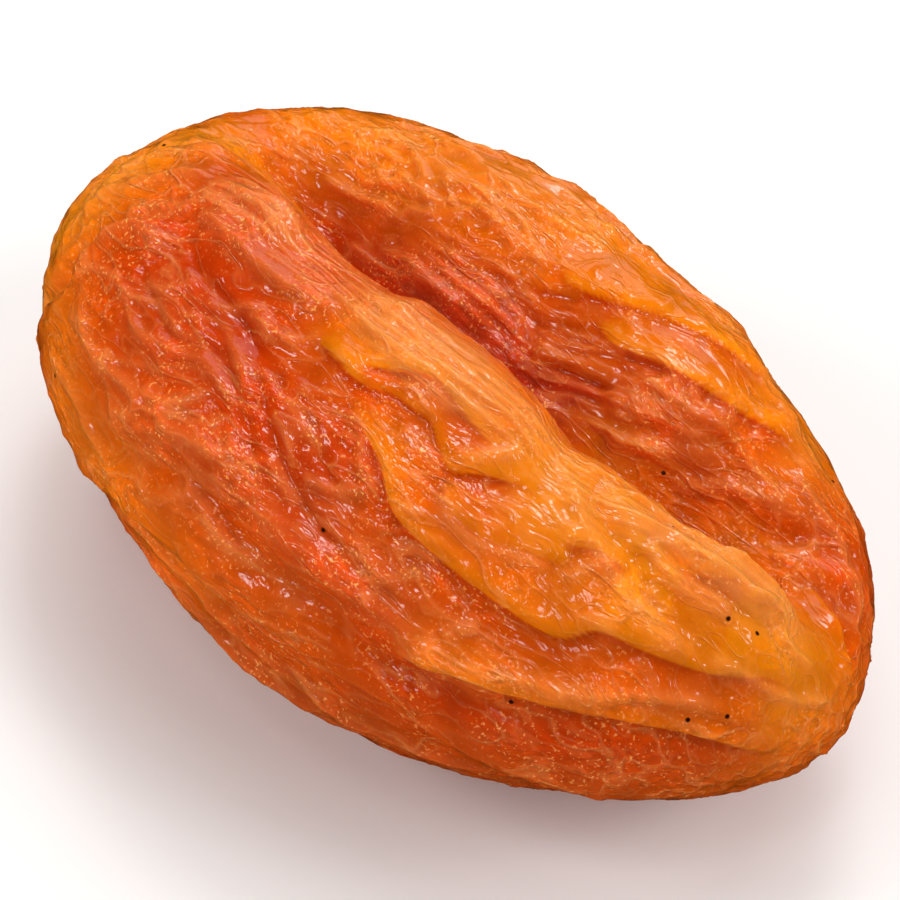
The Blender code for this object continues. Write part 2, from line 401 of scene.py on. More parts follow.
# The folds that give the fruit its look from a step away; the CAD solid has them too.
MAIN_FOLDS = [
    # the long double step below the near lip
    Fold(STEP, 0.8, 0.45, [(-0.13, 112), (-0.04, 113), (0.04, 114), (0.11, 112), (0.16, 112),
                           (0.20, 112), (0.25, 115), (0.29, 117), (0.34, 114), (0.44, 110)],
         lip=0.18, glow=1.0),
    Fold(STEP, 0.9, 0.52, [(0.00, 117), (0.09, 120), (0.14, 122), (0.18, 124), (0.26, 130),
                           (0.37, 132), (0.49, 133), (0.61, 133), (0.66, 127), (0.74, 125),
                           (0.83, 121), (0.90, 110), (0.95, 104)], lip=0.19, glow=1.0),
    Fold(STEP, 0.6, 0.26, [(0.29, 117), (0.33, 123), (0.41, 124), (0.48, 122), (0.58, 118)],
         lip=0.09, glow=0.6),
    Fold(STEP, 0.6, 0.30, [(0.00, 112), (0.07, 109), (0.16, 106), (0.26, 108), (0.33, 109)],
         lip=0.09, glow=0.9),
    # the slanting line over the near lobe
    Fold(CREASE, 0.55, 0.26, [(0.45, 99), (0.52, 105), (0.57, 108), (0.63, 111), (0.68, 114),
                              (0.73, 116), (0.78, 116), (0.85, 115), (0.90, 107)]),
    # the cap over the left tip, with the notch it makes in the outline
    Fold(STEP, 0.9, 0.52, [(-0.80, 172), (-0.77, 159), (-0.71, 144), (-0.69, 130),
                           (-0.66, 121), (-0.57, 112), (-0.49, 110)], side=-1, lip=0.15),
    Fold(CREASE, 0.7, 0.45, [(-0.84, 180), (-0.78, 163), (-0.73, 149), (-0.69, 136)]),
    # the near flank
    Fold(CREASE, 0.25, 0.16, [(-0.49, 109), (-0.43, 115), (-0.36, 117), (-0.23, 119),
                              (-0.09, 124), (0.02, 127), (0.12, 133), (0.22, 137)]),
    Fold(CREASE, 0.25, 0.16, [(-0.57, 123), (-0.44, 127), (-0.36, 130), (-0.24, 127),
                              (-0.14, 131), (-0.05, 138), (0.05, 147)]),
    Fold(CREASE, 0.25, 0.18, [(-0.26, 118), (-0.17, 123), (-0.06, 131), (0.07, 139),
                              (0.20, 143), (0.34, 145)]),
    Fold(RIDGE, 0.5, 0.30, [(-0.52, 104), (-0.46, 106), (-0.24, 107), (-0.10, 108)], frost_and_sheen=0.4),
    Fold(RIDGE, 0.6, 0.35, [(-0.42, 146), (-0.31, 146), (-0.15, 142), (-0.03, 144),
                            (0.11, 147), (0.29, 148)], frost_and_sheen=0.3),
    Fold(CREASE, 0.6, 0.30, [(-0.44, 160), (-0.31, 158), (-0.12, 151), (0.04, 156),
                             (0.18, 155), (0.33, 157), (0.50, 158)]),
    Fold(RIDGE, 0.6, 0.35, [(0.03, 148), (0.17, 147), (0.36, 149), (0.48, 152), (0.62, 152)],
         frost_and_sheen=0.3),
    # the lower edge of the near lobe, its nose at the right tip, and the belly's shoulder below
    Fold(STEP, 0.7, 0.60, [(0.36, 158), (0.50, 152), (0.58, 151), (0.68, 149), (0.77, 146),
                           (0.85, 144), (0.93, 146), (0.98, 152)], lip=0.24, glow=0.7),
    Fold(STEP, 0.6, 0.40, [(0.985, 45), (0.95, 61), (0.90, 62), (0.84, 63), (0.77, 66)],
         lip=0.18, glow=0.6, fade=0.25),
    Fold(CREASE, 0.4, 0.22, [(0.28, 161), (0.41, 160), (0.51, 158), (0.60, 158), (0.74, 157)]),
    Fold(STEP, 0.6, 0.26, [(0.61, 150), (0.71, 145), (0.78, 137), (0.87, 134), (0.94, 131)],
         lip=0.06, glow=0.3),
    Fold(STEP, 1.0, 0.52, [(-0.40, 177), (-0.25, 173), (0.00, 172), (0.24, 171), (0.42, 171),
                           (0.56, 177), (0.72, 184), (0.85, 194), (0.93, 204)],
         lip=0.15, glow=0.15),
    Fold(STEP, 0.9, 0.41, [(-0.72, 168), (-0.58, 172), (-0.44, 178), (-0.29, 171),
                           (-0.13, 168), (0.03, 170)], lip=0.12, glow=0.2),
    # the two long steps of the far slope, and the short ones between them and the groove
    Fold(STEP, 0.8, 0.41, [(0.00, 56), (0.06, 58), (0.14, 55), (0.23, 51), (0.31, 47),
                           (0.40, 41), (0.48, 35)], lip=0.15, glow=1.0),
    Fold(STEP, 0.8, 0.41, [(0.13, 60), (0.21, 62), (0.30, 60), (0.39, 57), (0.47, 53),
                           (0.54, 46), (0.61, 40)], lip=0.15, glow=1.0),
    Fold(STEP, 0.6, 0.26, [(-0.06, 61), (-0.02, 63), (0.04, 61), (0.10, 59)], lip=0.06, glow=0.4),
    Fold(STEP, 0.6, 0.26, [(-0.12, 64), (0.02, 66), (0.09, 65), (0.15, 62)], lip=0.06, glow=0.2),
    Fold(STEP, 0.6, 0.30, [(0.08, 74), (0.15, 71), (0.20, 70), (0.27, 69)], lip=0.07, glow=0.35),
    Fold(RIDGE, 0.6, 0.35, [(-0.30, 70), (-0.15, 72), (-0.03, 70)], frost_and_sheen=0.5),
    Fold(RIDGE, 0.6, 0.35, [(0.31, 78), (0.38, 74), (0.45, 69), (0.52, 61)], frost_and_sheen=0.5),
    Fold(RIDGE, 0.6, 0.35, [(0.25, 71), (0.36, 66), (0.44, 62), (0.50, 52)], frost_and_sheen=0.5),
    Fold(RIDGE, 0.5, 0.25, [(-0.42, 39), (-0.28, 44), (-0.16, 46)], frost_and_sheen=0.3),
    Fold(CREASE, 0.6, 0.30, [(0.62, 68), (0.72, 60), (0.80, 46), (0.85, 30)]),
    Fold(CREASE, 0.6, 0.30, [(0.76, 70), (0.85, 60), (0.91, 42), (0.94, 22)]),
    # the pinched skin over the left end of the groove
    Fold(STEP, 0.6, 0.34, [(-0.60, 98), (-0.52, 95), (-0.42, 94), (-0.30, 95)], side=-1, lip=0.09),
    Fold(CREASE, 0.6, 0.30, [(-0.88, 96), (-0.78, 90), (-0.68, 80), (-0.62, 66)]),
]

# Fine raised lines and nicks that stand out from their neighbours on the finished skin.
FINE_FOLDS = [
    # on the far lobe, from its outline down to the groove
    *ridges(0.24, 0.20, 0.7, [
        [(-0.58, 49), (-0.50, 45), (-0.42, 49), (-0.32, 58)],
        [(-0.40, 48), (-0.33, 51), (-0.28, 56)],
        [(-0.49, 35), (-0.40, 42), (-0.31, 44), (-0.20, 48), (-0.12, 41)]]),
    *ridges(0.24, 0.22, 0.7, [[(-0.31, 52), (-0.20, 53), (-0.11, 54), (0.00, 60)]]),
    *ridges(0.24, 0.20, 0.6, [[(-0.22, 56), (-0.16, 57), (-0.06, 60)]]),
    *ridges(0.26, 0.22, 0.7, [[(-0.50, 60), (-0.38, 57), (-0.31, 59), (-0.26, 64)]]),
    *ridges(0.26, 0.22, 0.6, [[(-0.35, 65), (-0.33, 62), (-0.28, 62)]]),
    *ridges(0.30, 0.25, 0.5, [[(-0.34, 67), (-0.33, 70), (-0.28, 71)]]),
    # on the near flank
    *ridges(0.26, 0.25, 0.7, [
        [(-0.61, 139), (-0.53, 145), (-0.44, 146), (-0.34, 145), (-0.33, 150), (-0.41, 154)]]),
    *ridges(0.30, 0.28, 0.7, [
        [(-0.35, 142), (-0.29, 143), (-0.24, 139), (-0.20, 135)],
        [(-0.27, 147), (-0.17, 144), (-0.08, 142)]]),
    *ridges(0.24, 0.22, 0.7, [
        [(-0.52, 105), (-0.39, 107), (-0.28, 108), (-0.15, 108)],
        [(0.06, 136), (0.13, 134), (0.20, 130)],
        [(0.27, 144), (0.31, 143), (0.37, 136)]]),
    *ridges(0.24, 0.19, 0.6, [[(-0.33, 105), (-0.22, 105), (-0.11, 107)]]),
    *ridges(0.26, 0.22, 0.5, [[(-0.28, 115), (-0.20, 117), (-0.12, 115), (-0.10, 110)]]),
    *ridges(0.26, 0.25, 0.6, [
        [(-0.50, 126), (-0.44, 124), (-0.39, 118)],
        [(0.46, 147), (0.47, 143), (0.50, 140)]]),
    *ridges(0.36, 0.28, 0.7, [[(-0.68, 127), (-0.62, 118), (-0.56, 117), (-0.50, 119)]]),
    *ridges(0.24, 0.22, 0.6, [
        [(-0.07, 125), (0.00, 127), (0.07, 130)],
        [(0.16, 116), (0.23, 118), (0.29, 119)],
        [(-0.02, 136), (0.04, 139), (0.10, 141)]]),
    *ridges(0.24, 0.25, 0.6, [[(0.05, 120), (0.11, 122), (0.15, 127), (0.22, 130)]]),
    *ridges(0.26, 0.25, 0.5, [[(-0.16, 152), (-0.07, 154), (0.00, 157), (0.10, 157)]]),
    # over the near lobe, between the two steps
    *ridges(0.34, 0.28, 1.0, [
        [(0.43, 106), (0.46, 105), (0.53, 110), (0.60, 114), (0.66, 117), (0.73, 119),
         (0.80, 120)]]),
    *ridges(0.22, 0.22, 0.8, [
        [(0.62, 104), (0.69, 108), (0.75, 108), (0.81, 105)],
        [(0.70, 100), (0.76, 101), (0.83, 95)]]),
    *ridges(0.24, 0.20, 0.6, [[(0.44, 111), (0.50, 113), (0.56, 115)]]),
    *ridges(0.24, 0.22, 0.8, [
        [(0.29, 119), (0.33, 124), (0.40, 126), (0.48, 124), (0.55, 122)],
        [(0.66, 108), (0.73, 106), (0.80, 103)],
        [(0.78, 100), (0.83, 94), (0.88, 96), (0.94, 91)],
        [(0.81, 118), (0.85, 116), (0.91, 115), (0.95, 110), (0.98, 86)]]),
    *ridges(0.26, 0.22, 0.8, [[(0.57, 123), (0.59, 117), (0.63, 112)]]),
    *ridges(0.24, 0.20, 0.7, [[(0.62, 99), (0.66, 100), (0.70, 103)]]),
    *ridges(0.24, 0.20, 0.8, [[(0.28, 115), (0.33, 111), (0.36, 106)]]),
    Fold(STEP, 0.5, 0.25, [(0.53, 116), (0.58, 113), (0.64, 112)], glow=0.8),
    Fold(STEP, 0.5, 0.20, [(0.69, 105), (0.74, 101), (0.78, 97)], glow=0.7),
    *ridges(0.24, 0.22, 0.7, [
        [(0.52, 149), (0.60, 146), (0.67, 144), (0.75, 139), (0.82, 133), (0.885, 129)]]),
    # along the far rim's right end
    *ridges(0.26, 0.22, 0.7, [[(0.62, 48), (0.73, 47), (0.81, 43), (0.88, 43), (0.94, 38)]]),
    # in the groove
    *ridges(0.30, 0.28, 0.6, [
        [(-0.58, 62), (-0.48, 62), (-0.39, 63), (-0.35, 66)],
        [(-0.45, 71), (-0.30, 74), (-0.15, 73), (-0.07, 76)],
        [(0.48, 75), (0.53, 68), (0.60, 62), (0.68, 54)]]),
    *ridges(0.30, 0.25, 0.6, [
        [(0.29, 74), (0.38, 68), (0.45, 65), (0.50, 54)],
        [(0.71, 68), (0.74, 60), (0.76, 52)]]),
    *ridges(0.26, 0.25, 0.5, [[(0.31, 66), (0.37, 59), (0.42, 60)]]),
    # round the left tip
    *ridges(0.48, 0.31, 0.6, [
        [(-0.79, 129), (-0.82, 112), (-0.79, 96), (-0.70, 88), (-0.61, 88)],
        [(-0.81, 119), (-0.74, 108), (-0.65, 99), (-0.59, 97)]]),
    *ridges(0.42, 0.28, 0.7, [[(-0.68, 117), (-0.61, 109), (-0.53, 106)]]),
]

CRINKLE_FAMILIES = [
    # along the near lip, where the skin is gathered into fine parallel pleats
    Crinkles([(-0.20, 104), (0.00, 108), (0.20, 108), (0.45, 107)],
             [(-0.20, 97), (0.00, 98), (0.20, 98), (0.45, 99)], 10, 3, frost_and_sheen=1.0, rise=0.2,
             shortest=0.4, longest=0.9, wander=0.05),
    Crinkles([(-0.60, 101), (-0.40, 102), (-0.15, 105)], [(-0.60, 92), (-0.40, 92), (-0.15, 97)],
             10, 4, frost_and_sheen=1.0, rise=0.18, shortest=0.4, longest=0.9, wander=0.06),
    Crinkles([(0.45, 107), (0.62, 104), (0.80, 100), (0.94, 92)],
             [(0.45, 99), (0.62, 95), (0.80, 88), (0.94, 76)], 11, 5, frost_and_sheen=1.0, rise=0.18,
             shortest=0.3, longest=0.8, wander=0.06),
    # the flanks, the far lobe and the groove
    Crinkles([(-0.70, 118), (-0.30, 120), (0.00, 122)], [(-0.70, 160), (-0.30, 160), (0.10, 160)],
             16, 6, frost_and_sheen=0.5),
    Crinkles([(0.05, 132), (0.30, 138), (0.60, 141)], [(0.05, 152), (0.30, 152), (0.60, 152)],
             6, 7, frost_and_sheen=0.4),
    Crinkles([(-0.70, 30), (-0.20, 30), (0.40, 25)], [(-0.55, 62), (-0.20, 60), (0.40, 50)],
             16, 8, frost_and_sheen=0.6, rise=0.16),
    Crinkles([(-0.45, 78), (0.10, 82), (0.80, 66)], [(-0.45, 62), (0.10, 66), (0.80, 40)],
             18, 9, frost_and_sheen=0.35, width=0.18, rise=0.16, longest=0.7, wander=0.08),
    Crinkles([(-0.60, 178), (0.00, 178), (0.70, 186)], [(-0.60, 200), (0.00, 205), (0.70, 215)],
             9, 10, frost_and_sheen=0.4, width=0.28, rise=0.2, longest=0.9),
    Crinkles([(-0.92, 60), (-0.92, 110), (-0.88, 165)], [(-0.72, 60), (-0.76, 100), (-0.80, 150)],
             8, 11, frost_and_sheen=0.6, width=0.28, rise=0.13, longest=0.9),
    # the hidden sides
    Crinkles([(-0.80, 210), (0.00, 215), (0.80, 215)], [(-0.80, 330), (0.00, 325), (0.80, 325)],
             26, 12, frost_and_sheen=0.3, width=0.28, rise=0.14, longest=0.9),
    Crinkles([(-0.80, 330), (0.00, 330), (0.85, 330)], [(-0.70, 390), (0.00, 390), (0.85, 390)],
             22, 13, frost_and_sheen=0.5, width=0.3, rise=0.1, longest=0.9),
]

# Broad strokes of tint.  The amber ones are partly painted glow where thin flesh lets light
# through; the red ones are painted shade in the groove and below steps and lobes, partly the
# flesh's own red; the brown one is painted shade along the underside.
STROKES = [
    Stroke(Tint.AMBER, 2.4, 0.60, [(0.02, 108), (0.16, 104), (0.30, 106), (0.45, 106)]),
    Stroke(Tint.AMBER, 3.6, 0.95, [(0.45, 108), (0.62, 112), (0.75, 110), (0.90, 100)]),
    Stroke(Tint.AMBER, 2.4, 0.60, [(0.30, 127), (0.45, 127), (0.60, 126), (0.72, 121)]),
    Stroke(Tint.AMBER, 1.3, 1.00, [(0.55, 102), (0.66, 109), (0.74, 112), (0.84, 111)]),
    Stroke(Tint.AMBER, 1.2, 0.50, [(0.55, 149), (0.75, 143), (0.92, 140)]),
    Stroke(Tint.RED, 1.8, 0.6, [(0.45, 158), (0.65, 156), (0.85, 153)]),
    Stroke(Tint.AMBER, 3.4, 0.95, [(-0.86, 175), (-0.88, 140), (-0.84, 110), (-0.80, 80)]),
    Stroke(Tint.AMBER, 2.2, 0.50, [(-0.80, 110), (-0.77, 142), (-0.62, 155), (-0.49, 167),
                                   (-0.33, 169), (-0.10, 173)]),
    Stroke(Tint.AMBER, 3.6, 0.70, [(-0.65, 45), (-0.30, 42), (0.00, 42), (0.30, 42), (0.55, 32)]),
    Stroke(Tint.AMBER, 2.0, 0.15, [(-0.35, 172), (-0.10, 168), (0.20, 166)]),
    Stroke(Tint.RED, 3.4, 0.9, [(-0.50, 72), (-0.30, 74), (0.00, 76), (0.30, 78), (0.58, 73)]),
    Stroke(Tint.RED, 3.5, 0.5, [(-0.45, 118), (-0.20, 124), (0.05, 130), (0.25, 138)]),
    Stroke(Tint.RED, 2.0, 0.5, [(0.50, 142), (0.70, 139), (0.88, 134)]),
    Stroke(Tint.BROWN, 3.0, 0.5, [(0.10, 192), (0.40, 190), (0.70, 196), (0.85, 205)]),
]

# Small near-black specks that stand out.
SPECKS = [(0.80, 106.5), (0.61, 154), (0.886, 131.5), (0.848, 137.6), (0.16, 142), (0.447, 74),
          (0.843, 104)]

# The near lip, where the skin is gathered into hair-fine parallel pleats.
LIP = [(-0.62, 97), (-0.45, 97), (-0.20, 98), (0.00, 102), (0.20, 102), (0.43, 103), (0.62, 99),
       (0.80, 93), (0.93, 84)]


@dataclass
class SideFolds:
    """Wandering folds along the length, over the belly and the far side.

    First and span are the angle at which they begin and the angle over which they
    spread, jitter is how far one begins from its even place, and sway is how far
    it strays at each stop, all in degrees.  Starts and lengths count along the
    fruit, and furthest is where a fold ends at the latest.  Widths and rises are in
    millimetres.
    """

    count: int = 15
    seed: int = 21
    first: float = 196.0
    span: float = 190.0
    jitter: float = 4.0
    sway: float = 5.0
    starts: tuple[float, float] = (-0.95, -0.35)
    lengths: tuple[float, float] = (0.7, 1.2)
    furthest: float = 0.96
    widths: tuple[float, float] = (0.7, 1.0)
    rises: tuple[float, float] = (0.25, 0.50)
    glow: float = 0.3
    frost_and_sheen: float = 0.2

    def folds(self) -> list[Fold]:
        """Draws the folds, the same ones each time.

        Returns:
            The folds, of all kinds.
        """
        draw = random.Random(self.seed)
        folds = []
        for number in range(self.count):
            around = self.first + self.span * number / (self.count - 1)
            around += draw.uniform(-self.jitter, self.jitter)
            start, length = draw.uniform(*self.starts), draw.uniform(*self.lengths)
            places = []
            for stop in range(STOPS):
                around += draw.uniform(-self.sway, self.sway)
                places.append((min(start + length * stop / (STOPS - 1), self.furthest), around))
            folds.append(Fold(draw.choice((CREASE, STEP, RIDGE)), draw.uniform(*self.widths),
                              draw.uniform(*self.rises), side=draw.choice((-1, 1)), places=places,
                              glow=self.glow, frost_and_sheen=self.frost_and_sheen))
        return folds


@dataclass
class Grid:
    """A cube's grid blown up to a sphere, with its rows crowded towards the groove."""

    cuts: int = 126
    crowding: float = 0.38
    crowding_angle: float = 80.0

    def mesh(self) -> bmesh.types.BMesh:
        """Makes the gridded cube.

        Returns:
            Its mesh.
        """
        bm = bmesh.new()
        bmesh.ops.create_cube(bm, size=2.0)
        bmesh.ops.subdivide_edges(bm, edges=bm.edges, cuts=self.cuts, use_grid_fill=True)
        return bm

    def directions(self, bm: bmesh.types.BMesh) -> np.ndarray:
        """Spreads the cube's corners over a sphere.

        Args:
            bm: The gridded cube.

        Returns:
            A unit direction for each corner.
        """
        corner = np.array([vert.co for vert in bm.verts])
        square = corner ** 2
        one, two = np.roll(square, 1, axis=1), np.roll(square, 2, axis=1)
        unit = corner * np.sqrt(1.0 - one / 2 - two / 2 + one * two / 3)
        unit /= np.linalg.norm(unit, axis=1)[:, None]
        radius = np.hypot(unit[:, 1], unit[:, 2])
        angle = np.arctan2(unit[:, 2], unit[:, 1])
        angle = angle - self.crowding * np.sin(angle - math.radians(self.crowding_angle))
        return np.stack([unit[:, 0], radius * np.cos(angle), radius * np.sin(angle)], axis=-1)


@dataclass
class Relief:
    """What the folds do to each point of the skin: rise, sideways shift and tints.
    The tints include painted glow and painted shade at steps, and painted highlights
    on ridge crests.

    Across is the distance from the near lip's line in millimetres, which its pleats follow.
    """

    rise: np.ndarray
    shift: np.ndarray
    across: np.ndarray
    tints: dict[Tint, np.ndarray]

    crest_width: ClassVar[float] = 1.2  # a ridge's pale crest, dried sugar with a painted highlight, in ridge widths
    lit_reach: ClassVar[float] = 1.3  # painted glow, amber above a step's edge, and painted shade, red below it, in millimetres
    shaded_reach: ClassVar[float] = 1.6
    edge_blur: ClassVar[float] = 0.12
    # how strong the painted shade below a step is, against its painted glow
    red_share: ClassVar[float] = 0.55
    smoothed: ClassVar[float] = 0.35  # how much less grainy the edge with the painted glow is

    @classmethod
    def flat(cls, count: int) -> "Relief":
        """A skin of so many points with nothing on it yet."""
        return cls(np.zeros(count), np.zeros((count, 3)), np.zeros(count),
                   {tint: np.zeros(count) for tint in Tint})

    def lay(self, fold: Fold, near: LineReach) -> None:
        """Lays one fold into the skin.

        Args:
            fold: The fold.
            near: The skin points near its line.
        """
        at = near.index
        strength = ease(near.share / fold.fade) * ease((1.0 - near.share) / fold.fade)
        self.rise[at] += strength * fold.profile(near.distance)
        if fold.kind is RIDGE:
            # the crest turns pale: partly dried sugar, partly a painted highlight
            off = near.distance / (self.crest_width * fold.width)
            self.raise_to(Tint.PALE, at, fold.frost_and_sheen * strength * np.exp(-off ** 2))
        if fold.kind is not STEP:
            return
        over, edge = fold.side * near.distance, fold.edge(near.distance)
        pull = fold.lip * edge * np.exp(-np.maximum(over, 0.0) / fold.width)
        self.shift[at] -= (strength * pull * fold.side)[:, None] * near.left
        # light painted into the colour: a painted glow, amber, just above the edge and a painted
        # shade, red, below it
        above = ease(over / self.edge_blur + 1.0)
        lit = np.exp(-(np.maximum(over, 0.0) / self.lit_reach)) * above
        shaded = np.exp(np.minimum(over, 0.0) / self.shaded_reach) * (1.0 - above)
        amber, red = self.tints[Tint.AMBER], self.tints[Tint.RED]
        amber[at] *= 1.0 - np.minimum(strength * fold.glow, 1.0) * shaded
        red[at] *= 1.0 - np.minimum(strength * fold.glow, 1.0) * lit
        self.raise_to(Tint.AMBER, at, fold.glow * strength * lit)
        self.raise_to(Tint.RED, at, self.red_share * fold.glow * strength * shaded)
        self.tints[Tint.GRAIN][at] -= self.smoothed * fold.glow * strength * lit

    def raise_to(self, tint: Tint, at: np.ndarray, share: np.ndarray) -> None:
        """Brings a tint up to at least the given share at some points."""
        shares = self.tints[tint]
        shares[at] = np.maximum(shares[at], share)


@dataclass
class Fruit:
    """The whole fruit, as one closed skin.

    Sizes are in millimetres.  After it is built, specks holds where the single
    near-black specks lie, in metres.
    """

    body: FruitBody = field(default_factory=FruitBody)
    grid: Grid = field(default_factory=Grid)
    # the belly: how much is cut flat, and where its folds fade in
    rest_cut: float = 0.15
    belly_calm: float = 3.0
    belly_fade: float = 7.0
    belly_slimness: float = 0.55
    # broad waves: length, turns about the fruit and rise
    waves: list[tuple[float, float, float]] = field(default_factory=lambda: [
        (5.5, 2.6, 0.14), (3.0, 5.0, 0.08)])
    # thin wrinkles: length, spacing, share of the spacing that is raised, and rise
    wrinkles: list[tuple[float, float, float, float]] = field(default_factory=lambda: [
        (6.0, 1.6, 0.12, 0.10), (4.0, 1.1, 0.14, 0.07)])
    wrinkle_bend: float = 1.3
    wrinkle_bend_rate: float = 0.22  # bends in a millimetre
    wrinkle_strength: float = 0.55  # where a wrinkle runs straight, and how it swells at bends
    wrinkle_swell: float = 1.6
    # veins, whose bends and gaps count in spacings
    vein_length: float = 3.8
    vein_spacing: float = 1.9
    vein_width: float = 0.13
    vein_rise: float = 0.05
    vein_bend: float = 0.35
    vein_bend_rate: float = 1.7
    vein_gap_rate: float = 0.8
    vein_gap_level: float = -0.05
    # where the next layer of waves or wrinkles reads its noise, so that no two are alike
    layer_offset: ClassVar[tuple[float, float, float]] = (7.0, 5.0, 9.0)
    noise_seed: int = 7  # without it, wrinkles and veins would bend differently each time
    # tints: plain skin, hollows deeper and crests higher than the swing, veins and wrinkles; the
    # hollows get a painted shade, red, and the veins and wrinkles turn paler, partly dried sugar,
    # partly a painted highlight
    swing: float = 0.5
    plain_grain: float = 0.6
    hollow_painted_shade: float = 0.3
    vein_pale: float = 0.15
    wrinkle_pale: float = 0.8
    pale_grain: float = 0.4
    crest_grain: float = 0.2
    # the near lip's pleated band, and the share of its length over which each end runs out
    lip_width: float = 1.3
    lip_reach: float = 3.2
    lip_fade: float = 0.1
    # how far from its line a stroke still shows, in reaches, and a fold, in widths
    stroke_margin: float = 2.6
    fold_margin: float = 9.0
    coarse_step: float = 0.4
    specks: list[Vector] = field(default_factory=list)

    def belly_strength(self, unit: np.ndarray, skin: np.ndarray) -> np.ndarray:
        """Share of the folds that is kept: none where the belly is pressed flat."""
        out = np.hypot(skin[:, 0] * self.belly_slimness, skin[:, 1])
        return np.where(unit[:, 2] < 0.0, ease((out - self.belly_calm) / self.belly_fade), 1.0)

    def shrinkage(self, unit: np.ndarray) -> np.ndarray:
        """Works out the broad waves, which run along the fruit and meet at its tips.

        Args:
            unit: Unit directions of the skin's points.

        Returns:
            The height of each point, in millimetres.
        """
        height = np.zeros(len(unit))
        for number, (wave, turns, rise) in enumerate(self.waves):
            stretch = Vector((self.body.half_length / wave, turns, turns))
            for index, spot in enumerate(unit):
                place = Vector(spot) * stretch
                place.z += self.layer_offset[0] * number
                height[index] += rise * (0.5 - 2.0 * abs(noise.noise(place)))
        return height

    def wrinkling(self, skin: np.ndarray) -> np.ndarray:
        """Works out the thin raised wrinkles, which wander along the fruit and fade in and out.

        Args:
            skin: Points of the unfolded skin.

        Returns:
            The height of each point, in millimetres.
        """
        height = np.zeros(len(skin))
        for number, (length, spacing, width, rise) in enumerate(self.wrinkles):
            for index, spot in enumerate(skin):
                bend = noise.noise_vector(Vector(spot) * self.wrinkle_bend_rate
                                          + Vector((0.0, 0.0, self.layer_offset[1] * number)))
                place = Vector((spot[0] / length, spot[1] / spacing,
                                spot[2] / spacing + self.layer_offset[2] * number))
                place += self.wrinkle_bend * bend
                line = math.exp(-(noise.noise(place) / width) ** 2)
                strength = self.wrinkle_strength + self.wrinkle_swell * bend.x
                height[index] += rise * line * min(1.0, max(0.0, strength))
        return height

    def veins(self, skin: np.ndarray) -> np.ndarray:
        """Finds the points that lie on a broken net of fine veins under the skin.

        Args:
            skin: Points of the unfolded skin.

        Returns:
            A share for each point: one in the middle of a vein.
        """
        share = np.zeros(len(skin))
        for index, spot in enumerate(skin):
            place = Vector((spot[0] / self.vein_length, spot[1] / self.vein_spacing,
                            spot[2] / self.vein_spacing))
            place += self.vein_bend * noise.noise_vector(place * self.vein_bend_rate)
            first, second = noise.voronoi(place)[0][:2]
            off = (second - first) * self.vein_spacing / self.vein_width
            shows = noise.noise(place * self.vein_gap_rate) > self.vein_gap_level
            share[index] = math.exp(-off * off) * shows
        return share

    def strokes(self, relief: Relief, skin: np.ndarray, normals: np.ndarray) -> None:
        """Paints the broad strokes of tint and the near lip.

        Args:
            relief: The relief whose tints are painted.
            skin: Points of the unfolded skin.
            normals: Their outward normals.
        """
        relief.tints[Tint.GRAIN] += self.plain_grain
        for stroke in STROKES:
            line = SkinLine(self.body, stroke.places, self.coarse_step)
            near = line.measure(skin, normals, self.stroke_margin * stroke.reach)
            relief.raise_to(stroke.tint, near.index,
                            stroke.strength * np.exp(-(near.distance / stroke.reach) ** 2))
        lip = SkinLine(self.body, LIP, 0.3).measure(skin, normals, self.lip_reach)
        relief.across[lip.index] = lip.distance
        ends = ease(lip.share / self.lip_fade) * ease((1.0 - lip.share) / self.lip_fade)
        relief.raise_to(Tint.LIP, lip.index, ends * np.exp(-(lip.distance / self.lip_width) ** 4))

    def relief(self, skin: np.ndarray, normals: np.ndarray, unit: np.ndarray) -> Relief:
        """Works out the whole relief.

        Args:
            skin: Points of the unfolded skin.
            normals: Their outward normals.
            unit: Their directions from the middle.

        Returns:
            The rise, shift and tints of each point.
        """
        relief = Relief.flat(len(skin))
        self.strokes(relief, skin, normals)
        folds = MAIN_FOLDS + SideFolds().folds() + FINE_FOLDS
        for family in CRINKLE_FAMILIES:
            folds = folds + family.folds()
        for fold in folds:
            line = SkinLine(self.body, fold.places)
            relief.lay(fold, line.measure(skin, normals, self.fold_margin * fold.width))
        veins = self.veins(skin)
        wrinkles = self.wrinkling(skin)
        relief.rise += self.shrinkage(unit) + wrinkles + self.vein_rise * veins
        tints = relief.tints
        hollow = np.clip(-relief.rise / self.swing, 0.0, 1.0)
        crest = np.clip(relief.rise / self.swing, 0.0, 1.0)
        # painted shade: the hollows turn red
        tints[Tint.RED] += self.hollow_painted_shade * hollow
        # paler veins and wrinkles: partly dried sugar, partly a painted highlight
        tints[Tint.PALE] += self.vein_pale * veins + self.wrinkle_pale * wrinkles
        tints[Tint.GRAIN] += (self.pale_grain * tints[Tint.PALE]
                              + self.crest_grain * (crest - hollow))
        return relief

